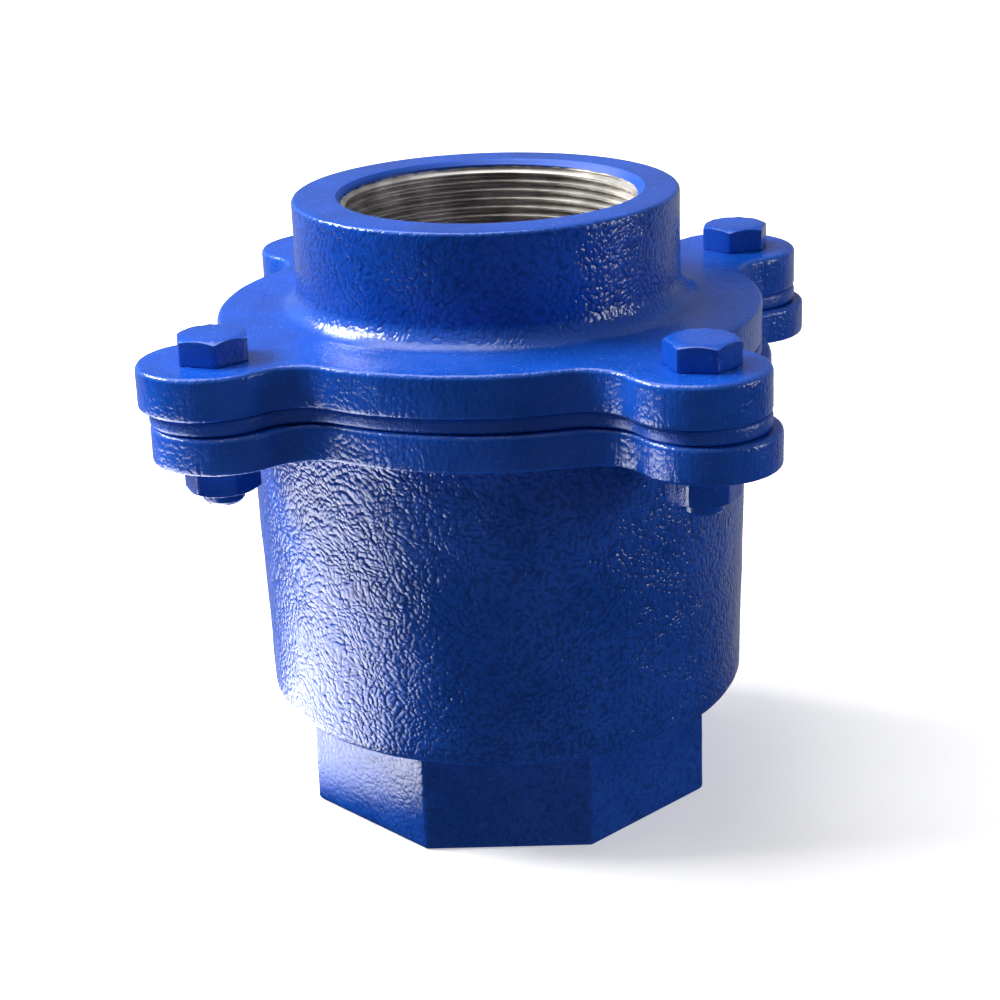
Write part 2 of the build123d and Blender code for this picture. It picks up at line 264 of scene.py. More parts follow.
def to_piece(
    mesh: Mesh, name: str, *finishes: bpy.types.Material, sharp: float = 40.0, closed: bool = True
) -> bpy.types.Object:
    """Turn a bmesh into a shown object at the origin, riding on the root.

    Args:
        mesh: The finished bmesh, which is freed.
        name: Name of the piece.
        *finishes: Its materials.
        sharp: Angle past which an edge stays sharp, in degrees.
        closed: Whether its normals can be turned outwards here.

    Returns:
        The object.
    """
    if closed:
        bmesh.ops.recalc_face_normals(mesh, faces=mesh.faces)
    data = bpy.data.meshes.new(name)
    mesh.to_mesh(data)
    mesh.free()
    data.shade_smooth()
    data.set_sharp_from_angle(angle=math.radians(sharp))
    for finish in finishes:
        data.materials.append(finish)
    piece = link_object(name, data)
    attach(piece, ROOT)
    return piece


def link_object(name: str, data: bpy.types.ID) -> bpy.types.Object:
    """Put a mesh, light or camera in the scene and return its object."""
    made = bpy.data.objects.new(name, data)
    bpy.context.scene.collection.objects.link(made)
    return made


def merge_into(mesh: Mesh, part: Mesh) -> None:
    """Add a part's faces to a mesh and free the part."""
    data = bpy.data.meshes.new("part")
    part.to_mesh(data)
    part.free()
    mesh.from_mesh(data)
    bpy.data.meshes.remove(data)


def roughen(mesh: Mesh, strength: Callable[[Vector], float], lump: float = 5.0 * MM) -> None:
    """Move the cast faces in and out a little, as sand moulding leaves them.

    Args:
        mesh: The mesh to change.
        strength: Gives the depth at a place, in metres.
        lump: Width of a lump, in metres.
    """
    mesh.normal_update()
    moves = []
    for vert in mesh.verts:
        depth = strength(vert.co)
        if depth == 0.0:
            continue
        spot = vert.co / lump
        drift = noise.noise(spot * 0.33) + 0.6 * noise.noise(spot) + 0.25 * noise.noise(spot * 2.3)
        moves.append((vert, vert.normal * depth * drift))
    for vert, move in moves:
        vert.co += move


# ----- Node graphs -----


class Graph:
    """A thin layer over a node tree, with one short call for each kind of node used here."""

    def __init__(self, tree: bpy.types.NodeTree) -> None:
        """Keep the tree and clear what it starts with."""
        self.tree = tree
        tree.nodes.clear()

    def node(self, kind: str, inputs: dict | None = None, **settings: object) -> bpy.types.Node:
        """Add a node.

        Args:
            kind: The node's type name, without ShaderNode.
            inputs: Values or sockets by input name or number.
            **settings: Attributes of the node.

        Returns:
            The node.
        """
        prefix = "" if kind.startswith("NodeGroup") else "ShaderNode"
        made = self.tree.nodes.new(prefix + kind)
        for key, value in settings.items():
            setattr(made, key, value)
        self.feed(made, inputs or {})
        return made

    def feed(self, made: bpy.types.Node, inputs: dict) -> None:
        """Link sockets to a node's inputs, or set their values."""
        for key, value in inputs.items():
            if isinstance(value, bpy.types.NodeSocket):
                self.tree.links.new(value, made.inputs[key])
            else:
                made.inputs[key].default_value = value

    def math(self, operation: str, first: object, second: object, third: object = 0.0) -> Socket:
        """Add a Math node and return its value."""
        return self.node("Math", {0: first, 1: second, 2: third}, operation=operation).outputs[0]

    def times(self, first: object, second: object) -> Socket:
        """Multiply two values."""
        return self.math("MULTIPLY", first, second)

    def mul_add(self, first: object, second: object, third: object) -> Socket:
        """Multiply two values and add a third."""
        return self.math("MULTIPLY_ADD", first, second, third)

    def length(self, vector: object) -> Socket:
        """Measure a vector."""
        return self.node("VectorMath", {0: vector}, operation="LENGTH").outputs["Value"]

    def vector(self, operation: str, first: object, second: object = (0, 0, 0)) -> Socket:
        """Add a Vector Math node and return its vector."""
        return self.node("VectorMath", {0: first, 1: second}, operation=operation).outputs[0]

    def scaled(self, vector: object, factor: object) -> Socket:
        """Multiply a vector by a number."""
        return self.node("VectorMath", {0: vector, "Scale": factor}, operation="SCALE").outputs[0]

    def ramp(self, value: object, low: float, high: float, start: float = 0.0, end: float = 1.0) -> Socket:
        """Map a value from low..high smoothly to start..end, held at both ends."""
        made = self.node(
            "MapRange",
            {"Value": value, "From Min": low, "From Max": high, "To Min": start, "To Max": end},
            interpolation_type="SMOOTHSTEP",
        )
        return made.outputs[0]

    def blend(self, factor: object, first: object, second: object) -> Socket:
        """Mix two colours, each a socket or red, green and blue."""
        first, second = ((*side, 1.0) if isinstance(side, tuple) else side for side in (first, second))
        return self.node("Mix", {0: factor, 6: first, 7: second}, data_type="RGBA").outputs[2]

    def split(self, vector: object) -> bpy.types.NodeOutputs:
        """Split a vector into its X, Y and Z."""
        return self.node("SeparateXYZ", {0: vector}).outputs

    def noise(self, vector: object, scale: float, detail: float = 2.0, rough: float = 0.5) -> Socket:
        """Add a noise texture and return its value."""
        inputs = {"Vector": vector, "Scale": scale, "Detail": detail, "Roughness": rough}
        return self.node("TexNoise", inputs).outputs[0]

    def bump(self, height: object, strength: float, distance: float) -> Socket:
        """Turn a height into a normal."""
        inputs = {"Height": height, "Strength": strength, "Distance": distance}
        return self.node("Bump", inputs).outputs[0]


class SkinGroup:
    """The wrinkled skin of a sand casting under thick enamel, as a node group."""

    NAME = "cast_skin"

    @classmethod
    def tree(cls) -> bpy.types.NodeTree:
        """Build the group once and return it."""
        made = bpy.data.node_groups.get(cls.NAME)
        if made is not None:
            return made
        made = bpy.data.node_groups.new(cls.NAME, "ShaderNodeTree")
        graph = Graph(made)
        sockets = made.interface
        sockets.new_socket("Vector", in_out="INPUT", socket_type="NodeSocketVector")
        for name, default in (("Wrinkle", 1.0), ("Streak", 0.0), ("Peel", 0.3), ("Width", 1.12)):
            socket = sockets.new_socket(name, in_out="INPUT", socket_type="NodeSocketFloat")
            socket.default_value = default
        for name in ("Height", "Tone"):
            sockets.new_socket(name, in_out="OUTPUT", socket_type="NodeSocketFloat")
        given = graph.node("NodeGroupInput").outputs
        place = graph.scaled(given["Vector"], PER_METRE)
        drift = graph.node("TexNoise", {"Vector": place, "Scale": 0.11, "Detail": 1.0}).outputs["Color"]
        pull = graph.scaled(graph.vector("SUBTRACT", drift, (0.5, 0.5, 0.5)), 5.0)
        bent = graph.vector("ADD", place, pull)
        sized = graph.scaled(bent, graph.math("DIVIDE", 1.0, given["Width"]))
        folds = graph.noise(sized, 0.8, 1.0, 0.4)
        cells = graph.node(
            "TexVoronoi", {"Vector": sized, "Scale": 1.0, "Smoothness": 0.45}, feature="SMOOTH_F1"
        )
        domes = graph.times(graph.math("POWER", cells.outputs["Distance"], 2.0), -0.9)
        leather = graph.mul_add(folds, 0.42, domes)
        along = graph.node("Mapping", {"Vector": place, "Scale": (0.7, 0.7, 0.14)})
        stripes = graph.noise(along.outputs[0], 1.0, 3.0, 0.6)
        peel = graph.noise(place, 1.6, 3.0, 0.55)
        height = graph.times(leather, given["Wrinkle"])
        height = graph.mul_add(stripes, given["Streak"], height)
        height = graph.mul_add(peel, given["Peel"], height)
        graph.node("NodeGroupOutput", {"Height": height, "Tone": graph.noise(place, 0.045, 4.0, 0.6)})
        return made


def shade(colour: Triple, factor: float) -> Triple:
    """Make a colour darker by a factor."""
    return tuple(factor * part for part in colour)


@dataclass(frozen=True)
class Finish:
    """What every finish starts from."""

    name: str
    colour: Triple = (0.5, 0.5, 0.5)
    roughness: float = 0.4
    metallic: float = 0.0

    def make(self) -> bpy.types.Material:
        """Build the material: a Principled shader, then what the finish adds to it.

        Returns:
            The material.
        """
        made = bpy.data.materials.new(self.name)
        made.use_nodes = True
        graph = Graph(made.node_tree)
        shader = graph.node(
            "BsdfPrincipled",
            {"Base Color": (*self.colour, 1.0), "Roughness": self.roughness, "Metallic": self.metallic},
        )
        graph.node("OutputMaterial", {"Surface": shader.outputs[0]})
        self.detail(graph, shader, graph.node("TexCoord").outputs["Object"])
        return made

    def detail(self, graph: Graph, shader: bpy.types.Node, place: Socket) -> None:
        """Add the finish's own nodes, given the Principled shader and object coordinates."""
        raise NotImplementedError


@dataclass(frozen=True)
class Enamel(Finish):
    """Thick glossy enamel over a casting, its skin rough where the zones say."""

    wrinkle: float = 1.0
    streak: float = 0.0
    peel: float = 0.16
    flat_wrinkle: float = 0.12
    depth: float = 0.33
    width: float = 1.12
    specks: float = 0.55
    band: Point | None = None
    band_wrinkle: float = 0.0
    low: float | None = None
    low_wrinkle: float = 0.35
    # Colour of the painted highlight on faces that tilt up.
    painted_edge_highlight: Triple = (0.10, 0.24, 0.78)
    speck_tint: Triple = (0.16, 0.32, 0.85)

    def detail(self, graph: Graph, shader: bpy.types.Node, place: Socket) -> None:
        """Add the skin, strongest on upright faces, the paint's uneven tone, painted shade in the skin's
        hollows, a painted highlight on faces that tilt up, and lighter specks.
        """
        upright = graph.split(graph.node("TexCoord").outputs["Normal"])[2]
        flatness = graph.ramp(graph.math("ABSOLUTE", upright, 0.0), 0.45, 0.9)
        height = graph.split(place)[2]
        millimetres = graph.scaled(place, PER_METRE)
        strength: object = self.wrinkle
        streak: object = self.streak
        if self.band is not None:
            (bottom, top), soft = self.band, 0.5 * MM
            under = graph.ramp(height, top, top + soft, 1.0, 0.0)
            inside = graph.times(graph.ramp(height, bottom - soft, bottom), under)
            strength = graph.mul_add(inside, self.band_wrinkle - self.wrinkle, self.wrinkle)
            streak = graph.times(inside, self.streak)
        if self.low is not None:
            below = graph.ramp(height, self.low - 1.0 * MM, self.low, 1.0, 0.0)
            strength = graph.mul_add(below, self.low_wrinkle - self.wrinkle, strength)
        keep = graph.mul_add(flatness, self.flat_wrinkle - 1.0, 1.0)
        strength = graph.times(strength, keep)
        patch = graph.ramp(graph.noise(millimetres, 0.035, 2.0), 0.3, 0.7, 0.75, 1.25)
        strength = graph.times(strength, patch)
        given = {"Vector": place, "Wrinkle": strength, "Streak": streak}
        given |= {"Peel": self.peel, "Width": self.width}
        skin = graph.node("Group", node_tree=SkinGroup.tree())
        graph.feed(skin, given)
        tone, relief = skin.outputs["Tone"], skin.outputs["Height"]
        light = (self.colour[0] + 0.004, self.colour[1] * 1.12, self.colour[2] * 1.08)
        base = graph.blend(graph.ramp(tone, 0.3, 0.7), shade(self.colour, 0.82), light)
        # Painted shade: the enamel is made darker in the hollows of the cast skin.
        base = graph.blend(graph.ramp(relief, -0.16, 0.20, 0.55, 0.0), base, shade(self.colour, 0.4))
        # Painted highlight: faces that tilt up, such as rounded upper edges and fillets, are made a lighter
        # blue.
        below, above = graph.ramp(upright, 0.12, 0.45), graph.ramp(upright, 0.75, 0.97, 1.0, 0.0)
        rounding = graph.times(graph.times(below, above), 0.20)
        base = graph.blend(rounding, base, self.painted_edge_highlight)
        speck = graph.ramp(graph.noise(millimetres, 1.5, 2.0, 0.7), 0.64, 0.70, 0.0, self.specks)
        speck = graph.times(speck, graph.mul_add(flatness, 0.6, 0.4))
        base = graph.blend(speck, base, self.speck_tint)
        gloss = graph.ramp(tone, 0.25, 0.75, self.roughness - 0.03, self.roughness + 0.05)
        bump = graph.bump(relief, 1.0, self.depth * MM)
        graph.feed(shader, {"Base Color": base, "Roughness": gloss, "Normal": bump, "IOR": 1.5})


@dataclass(frozen=True)
class MachinedIron(Finish):
    """Bare cut iron in a port, painted from its mouth down to an uneven edge."""

    paint: Triple = BLUE
    scored: Triple = (0.66, 0.63, 0.58)
    mouth: float = 0.0
    reach: float = 1.9 * MM
    downwards: bool = True

    def detail(self, graph: Graph, shader: bpy.types.Node, place: Socket) -> None:
        """Add tool marks, stains and the painted lip."""
        millimetres = graph.scaled(place, PER_METRE)
        waver = graph.noise(millimetres, 0.35, 3.0)
        distance = graph.math("SUBTRACT", self.mouth, graph.split(place)[2])
        if not self.downwards:
            distance = graph.times(distance, -1.0)
        edge = graph.mul_add(waver, 1.2 * MM, self.reach - 0.6 * MM)
        painted = graph.ramp(graph.math("SUBTRACT", distance, edge), -0.08 * MM, 0.08 * MM, 1.0, 0.0)
        rings = graph.node("Mapping", {"Vector": millimetres, "Scale": (0.05, 0.05, 3.0)})
        tooling = graph.noise(rings.outputs[0], 1.0, 4.0, 0.7)
        blotch = graph.ramp(graph.noise(millimetres, 0.09, 3.0), 0.35, 0.65)
        metal = graph.blend(blotch, shade(self.colour, 0.55), self.colour)
        metal = graph.blend(graph.ramp(tooling, 0.45, 0.75, 0.0, 0.5), metal, self.scored)
        look = {
            "Base Color": graph.blend(painted, metal, self.paint),
            "Metallic": graph.math("SUBTRACT", 1.0, painted),
            "Roughness": graph.ramp(tooling, 0.3, 0.7, self.roughness - 0.08, self.roughness + 0.1),
            "Normal": graph.bump(tooling, 0.6, 0.03 * MM),
        }
        graph.feed(shader, look)


@dataclass(frozen=True)
class TurnedMetal(Finish):
    """Metal turned on a lathe: fine rings, tarnish and small pits."""

    tarnish: Triple = (0.3, 0.2, 0.1)
    amount: float = 0.5
    rings: float = 6.0

    def detail(self, graph: Graph, shader: bpy.types.Node, place: Socket) -> None:
        """Add the rings, the tarnish and the pits."""
        millimetres = graph.scaled(place, PER_METRE)
        parts = graph.split(millimetres)
        flat = graph.node("CombineXYZ", {0: parts[0], 1: parts[1]}).outputs[0]
        radius = graph.length(flat)
        lathe = graph.node("CombineXYZ", {0: radius, 2: parts[2]}).outputs[0]
        cuts = graph.noise(lathe, self.rings, 3.0, 0.7)
        stain = graph.noise(millimetres, 0.16, 5.0, 0.6)
        pits = graph.noise(millimetres, 1.4, 2.0, 0.6)
        mask = graph.ramp(stain, 0.42, 0.68, 0.0, self.amount)
        rough = graph.mul_add(mask, 0.3, self.roughness)
        look = {
            "Base Color": graph.blend(mask, self.colour, self.tarnish),
            "Roughness": graph.mul_add(cuts, 0.12, rough),
            "Normal": graph.bump(graph.mul_add(pits, 0.6, cuts), 0.7, 0.04 * MM),
        }
        graph.feed(shader, look)


@dataclass(frozen=True)
class Rubber(Finish):
    """Moulded rubber with a fine grain and a grey bloom."""

    bloom: Triple = (0.09, 0.09, 0.095)

    def detail(self, graph: Graph, shader: bpy.types.Node, place: Socket) -> None:
        """Add the grain and the bloom."""
        millimetres = graph.scaled(place, PER_METRE)
        grain = graph.noise(millimetres, 2.2, 4.0, 0.65)
        cloud = graph.ramp(graph.noise(millimetres, 0.12, 4.0, 0.6), 0.45, 0.75, 0.0, 0.6)
        look = {
            "Base Color": graph.blend(cloud, self.colour, self.bloom),
            "Roughness": graph.ramp(grain, 0.3, 0.7, self.roughness - 0.08, self.roughness + 0.1),
            "Normal": graph.bump(grain, 0.8, 0.08 * MM),
        }
        graph.feed(shader, look)


# ----- Castings -----


@dataclass
class FlangeShape:
    """The outline that both flanges and the gasket follow."""

    flange_r: float = 68.5 * MM
    bolt_circle_r: float = 80.5 * MM
    ear_r: float = 17.2 * MM
    blend: float = 12.0 * MM
    turn: float = math.radians(35.0)
    mould_shift: float = 1.2 * MM
    rim: float = 2.5 * MM

    def outline(self) -> Outline:
        """Draw the flange outline."""
        return eared_outline(self.flange_r, self.bolt_circle_r, self.ear_r, self.blend, self.turn)

    def bolt_places(self) -> list[tuple[float, float, float]]:
        """Give the four bolt places as angle, x and y."""
        angles = [self.turn + quarter * TURN / 4 for quarter in range(4)]
        return [(angle, *polar(self.bolt_circle_r, angle)) for angle in angles]


def stretch_to(
    outline: Outline, vert: Vector, inner_r: float, outer_r: float, rim: float, shift: float = 0.0
) -> Vector:
    """Move a point of a spun disc out to an outline, keeping an inner circle where it is.

    Args:
        outline: The outline that the disc's edge goes to.
        vert: The point on the spun mesh.
        inner_r: Radius of the circle that stays.
        outer_r: Radius that the spun edge has.
        rim: Width of the edge strip that keeps its shape.
        shift: How far the outline's middle lies from the axis along X.

    Returns:
        The new place.
    """
    radius = math.hypot(vert.x, vert.y)
    angle = math.atan2(vert.y, vert.x)
    if radius <= inner_r:
        return vert.copy()
    if radius >= outer_r - rim:
        x, y = outline.at(angle, radius - outer_r)
        return Vector((x + shift, y, vert.z))
    share = (radius - inner_r) / (outer_r - rim - inner_r)
    x, y = outline.at(angle, -rim)
    circle = Vector((*polar(inner_r, angle), vert.z))
    return circle.lerp(Vector((x + shift, y, vert.z)), share)


@dataclass
class Thread:
    """A female pipe thread, cut helically into a port's wall."""

    finish: bpy.types.Material
    radius: float
    mouth: float
    end: float
    pitch: float = 25.4 / 11 * MM
    depth: float = 1.479 * MM
    lead_in: float = 38.4 * MM
    steps_per_turn: int = 120

    def build(self, name: str) -> None:
        """Screw one tooth along the port, trim it to the lead-in chamfer and name the piece."""
        way = 1.0 if self.mouth > self.end else -1.0
        crest = self.radius - self.depth
        soft = 0.12 * self.depth
        rising = [self.radius, self.radius, self.radius - soft, crest + soft, crest]
        radii = rising + [crest, crest + soft, self.radius - soft, self.radius]
        shares = (0.0, 0.13, 0.19, 0.47, 0.52, 0.63, 0.68, 0.96, 1.0)
        low = min(self.mouth, self.end)
        span = abs(self.mouth - self.end)
        turns = span / self.pitch + 1
        mesh = bmesh.new()
        tooth = zip(radii, shares)
        ring = [mesh.verts.new((r, 0.0, low - self.pitch + share * self.pitch)) for r, share in tooth]
        edges = [mesh.edges.new(pair) for pair in zip(ring, ring[1:])]
        steps = round(turns * self.steps_per_turn)
        bmesh.ops.spin(
            mesh,
            geom=ring + edges,
            cent=(0, 0, 0),
            axis=(0, 0, 1),
            dvec=(0, 0, self.pitch * turns / steps),
            angle=TURN * turns,
            steps=steps,
        )
        bmesh.ops.remove_doubles(mesh, verts=mesh.verts, dist=HAIR)
        for height, outwards in ((low, -1.0), (low + span, 1.0)):
            bmesh.ops.bisect_plane(
                mesh,
                geom=list(mesh.verts) + list(mesh.edges) + list(mesh.faces),
                plane_co=(0, 0, height),
                plane_no=(0, 0, outwards),
                clear_outer=True,
            )
        for vert in mesh.verts:
            radius = math.hypot(vert.co.x, vert.co.y)
            cone = self.lead_in - way * (self.mouth - vert.co.z)
            if cone > radius:
                vert.co.xy *= (cone + 0.04 * MM) / radius
        bmesh.ops.recalc_face_normals(mesh, faces=mesh.faces)
        middle = mesh.faces[:][len(mesh.faces) // 2]
        if middle.normal.xy.dot(middle.calc_center_median().xy) > 0:
            bmesh.ops.reverse_faces(mesh, faces=mesh.faces)
        piece = to_piece(mesh, name, self.finish, sharp=50, closed=False)


@dataclass
class Casting:
    """What the two castings share."""

    shape: FlangeShape
    enamel: bpy.types.Material
    bore: bpy.types.Material
    thread_r: float
    wall_gap: float = 0.15 * MM
    lead_in: float = 38.4 * MM
    steps: int = 540

    def dress(self, piece: bpy.types.Object, bore_faces: Callable[[Vector], bool], node: str) -> None:
        """Give the port's faces their finish, and hide the CAD node.

        Args:
            piece: The casting.
            bore_faces: Says whether a face's middle lies in the threaded port.
            node: The CAD node.
        """
        for face in piece.data.polygons:
            if bore_faces(face.center):
                face.material_index = 1
        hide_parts(node)


@dataclass
class Cover(Casting):
    """The upper casting: flange, broad blend, hub and outlet port."""

    hub_r: float = 48.2 * MM
    hub_blend: float = 7.0 * MM
    hub_edge: float = 1.0 * MM
    flange_edge: float = 1.3 * MM
    flange_thick: float = 10.5 * MM
    recess_r: float = 59.2 * MM
    recess_deep: float = 5.0 * MM
    cone_r: float = 50.0 * MM
    stop_r: float = 34.5 * MM
    stop_thick: float = 2.0 * MM
    port_deep: float = 26.0 * MM
    still_r: float = 58.0 * MM

    def build(self) -> None:
        """Model the cover and hide the CAD node it stands for."""
        bottom, top = (corner[2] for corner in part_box("cover"))
        flange_top = bottom + self.flange_thick
        wall = self.thread_r + self.wall_gap
        stop_top = top - self.port_deep
        fine, coarse = 1.0 * MM, 3.0 * MM
        profile = rounded_profile(
            [
                Corner(self.hub_r, flange_top, self.hub_blend, fine),
                Corner(self.hub_r, top, self.hub_edge, 1.2 * MM),
                Corner(self.lead_in, top, 0.15 * MM, 0.6 * MM),
                Corner(wall, top - (self.lead_in - wall), 0.0, coarse),
                Corner(wall, stop_top, 0.0, coarse),
                Corner(self.stop_r, stop_top, 0.4 * MM, coarse),
                Corner(self.stop_r, stop_top - self.stop_thick, 0.4 * MM, coarse),
                Corner(self.cone_r, bottom + self.recess_deep, 0.0, coarse),
                Corner(self.recess_r, bottom + self.recess_deep, 0.0, coarse),
                Corner(self.recess_r, bottom, 0.0, fine),
                Corner(self.shape.flange_r, bottom, 0.9 * MM, fine),
                Corner(self.shape.flange_r, flange_top, self.flange_edge, 0.8 * MM),
            ]
        )
        mesh = spin_profile(profile, self.steps)
        outline = self.shape.outline()
        shift = -self.shape.mould_shift
        for vert in mesh.verts:
            radius = vert.co.xy.length
            if vert.co.z < flange_top + HAIR and radius > self.recess_r + HAIR:
                still = self.recess_r if vert.co.z < bottom + HAIR else self.still_r
                vert.co = stretch_to(outline, vert.co, still, self.shape.flange_r, self.shape.rim, shift)
            elif vert.co.z > flange_top - HAIR and radius > self.lead_in + 1.0 * MM:
                vert.co.x += shift

        def strength(spot: Vector) -> float:
            """Give the depth of the cast skin at a place."""
            radius = spot.xy.length
            if radius < self.lead_in + 2 * MM or (spot.z < bottom + 0.5 * MM and radius < 64 * MM):
                return 0.0
            if spot.z > top - 0.3 * MM:
                return 0.02 * MM
            return 0.10 * MM if spot.z > flange_top + 1 * MM else 0.13 * MM

        roughen(mesh, strength)
        piece = to_piece(mesh, "cover_casting", self.enamel, self.bore)
        self.dress(piece, lambda spot: spot.xy.length < self.lead_in + HAIR and spot.z > stop_top, "cover")


@dataclass
class ValveBody(Casting):
    """The lower casting: octagonal inlet boss, drum and flange."""

    boss_apothem: float = 50.4 * MM
    boss_turn: float = math.radians(-1.5)
    boss_top: float = 27.0 * MM
    boss_edge: float = 1.4 * MM
    drum_bottom_r: float = 61.6 * MM
    drum_top_r: float = 63.4 * MM
    drum_edge: float = 4.5 * MM
    flange_thick: float = 9.0 * MM
    chamber_r: float = 54.5 * MM
    floor_z: float = 33.0 * MM
    skirt_r: float = 35.0 * MM
    port_deep: float = 24.0 * MM

    def build(self) -> None:
        """Model the body and hide the CAD node it stands for."""
        bottom, top = (corner[2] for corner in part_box("valve_body"))
        flange_bottom = top - self.flange_thick
        wall = self.thread_r + self.wall_gap
        boss_top = bottom + self.boss_top
        fine, coarse, lead = 1.0 * MM, 4.0 * MM, self.lead_in
        profile = rounded_profile(
            [
                Corner(lead, bottom, 0.15 * MM, 0.5 * MM),
                Corner(wall, bottom + (lead - wall), 0.0, coarse),
                Corner(wall, bottom + self.port_deep, 0.0, coarse),
                Corner(self.skirt_r, bottom + self.port_deep, 0.0, coarse),
                Corner(self.skirt_r, bottom + self.floor_z, 0.0, coarse),
                Corner(self.chamber_r, bottom + self.floor_z, 7.0 * MM, 8 * MM),
                Corner(self.chamber_r, top, 0.0, 1.5 * MM),
                Corner(self.shape.flange_r, top, 1.2 * MM, fine),
                Corner(self.shape.flange_r, flange_bottom, 0.9 * MM, fine),
                Corner(self.drum_top_r, flange_bottom, 1.2 * MM, 1.05 * MM),
                Corner(self.drum_bottom_r, boss_top, self.drum_edge, 0.8 * MM),
                Corner(self.boss_apothem, boss_top, 0.8 * MM, 1.1 * MM),
                Corner(self.boss_apothem, bottom, self.boss_edge, 1.2 * MM),
            ]
        )
        mesh = spin_profile(profile, self.steps)
        ears = self.shape.outline()
        octagon = polygon_outline(8, self.boss_apothem, 1.4 * MM, math.radians(22.5) + self.boss_turn)
        drum_flat = self.drum_bottom_r - self.drum_edge
        shape, drum_edge_r = self.shape, self.drum_top_r + 1.3 * MM
        for vert in mesh.verts:
            radius = vert.co.xy.length
            if vert.co.z > flange_bottom - HAIR and radius > drum_edge_r:
                still = self.chamber_r if vert.co.z > top - HAIR else drum_edge_r
                vert.co = stretch_to(ears, vert.co, still, shape.flange_r, shape.rim, shape.mould_shift)
            elif vert.co.z < boss_top + 0.9 * MM and radius > lead + HAIR:
                if radius > self.boss_apothem + HAIR:
                    angle = math.atan2(vert.co.y, vert.co.x)
                    share = min(1.0, (radius - self.boss_apothem) / (drum_flat - self.boss_apothem))
                    circle = Vector(polar(max(radius, drum_flat), angle))
                    vert.co.xy = Vector(octagon.at(angle, 0.0)).lerp(circle, share)
                else:
                    vert.co = stretch_to(octagon, vert.co, lead, self.boss_apothem, 2.0 * MM)

        def strength(spot: Vector) -> float:
            """Give the depth of the cast skin at a place."""
            radius = spot.xy.length
            if radius < 44 * MM or (spot.z > boss_top + 2 * MM and radius < self.chamber_r + 1 * MM):
                return 0.0
            if spot.z > flange_bottom - 0.5 * MM:
                return 0.0 if spot.z > top - 0.2 * MM and radius < 62 * MM else 0.11 * MM
            if spot.z < bottom + 0.4 * MM:
                return 0.0
            return 0.10 * MM if spot.z < boss_top - 0.5 * MM else 0.16 * MM

        roughen(mesh, strength, 4.5 * MM)
        piece = to_piece(mesh, "body_casting", self.enamel, self.bore)
        port_top = bottom + self.port_deep - HAIR
        self.dress(piece, lambda spot: spot.xy.length < lead + HAIR and spot.z < port_top, "valve_body")


@dataclass
class Gasket:
    """The rubber sheet between the flanges, its edge squeezed round and painted."""

    shape: FlangeShape
    finish: bpy.types.Material
    inset: float = 1.1 * MM
    bore_r: float = 54.5 * MM
    steps: int = 432

    def build(self) -> None:
        """Model the gasket and hide the CAD node it stands for."""
        low, high = (corner[2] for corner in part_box("flange_gasket"))
        outer = self.shape.flange_r
        edge = 1.1 * MM
        profile = rounded_profile(
            [
                Corner(self.bore_r, low, 0.0, 4 * MM),
                Corner(outer, low, edge, 0.7 * MM),
                Corner(outer, high, edge, 1.5 * MM),
                Corner(self.bore_r, high, 0.0, 2 * MM),
            ]
        )
        mesh = spin_profile(profile, self.steps)
        outline = self.shape.outline()
        for vert in mesh.verts:
            if vert.co.xy.length > self.bore_r + 0.1 * MM:
                vert.co = stretch_to(outline, vert.co, self.bore_r, outer + self.inset, self.shape.rim)

        def strength(spot: Vector) -> float:
            """Give the unevenness of the squeezed edge."""
            middle = abs(spot.z - (low + high) / 2) < 1.4 * MM
            return 0.25 * MM if middle and spot.xy.length > 60 * MM else 0.0

        roughen(mesh, strength, 7 * MM)
        piece = to_piece(mesh, "gasket_sheet", self.finish, sharp=60)
        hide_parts("flange_gasket")


# ----- Bolts and nuts -----


@dataclass
class HexShape:
    """A hexagon block with its corners turned off at one end."""

    flats: float = 16.0 * MM
    rounding: float = 0.7 * MM
    crown_share: float = 0.94
    crown_slope: float = math.tan(math.radians(30))
    steps: int = 96

    def add_to(self, mesh: Mesh, bottom: float, top: float, crowned: Edge, bore: float) -> None:
        """Add the block from bottom to top on the Z axis, with a hole of radius bore, or solid at zero."""
        apothem = self.flats / 2
        edge = 0.35 * MM
        hollow = bore > 0.0
        profile = rounded_profile(
            [
                Corner(bore, bottom, 0.0, 1.1 * MM),
                Corner(apothem, bottom, edge, 0.7 * MM),
                Corner(apothem, top, edge, 1.1 * MM),
                Corner(bore, top, 0.0, 3 * MM),
            ],
            closed=hollow,
        )
        block = spin_profile(profile, self.steps, closed=hollow)
        outline = polygon_outline(6, apothem, self.rounding, 0.0)
        crown_r = apothem * self.crown_share
        for vert in block.verts:
            vert.co = stretch_to(outline, vert.co, bore, apothem, 0.6 * MM)
            drop = max(0.0, vert.co.xy.length - crown_r) * self.crown_slope
            if crowned is Edge.TOP:
                vert.co.z = min(vert.co.z, top - drop)
            else:
                vert.co.z = max(vert.co.z, bottom + drop)
        bmesh.ops.remove_doubles(block, verts=block.verts, dist=0.02 * MM)
        merge_into(mesh, block)


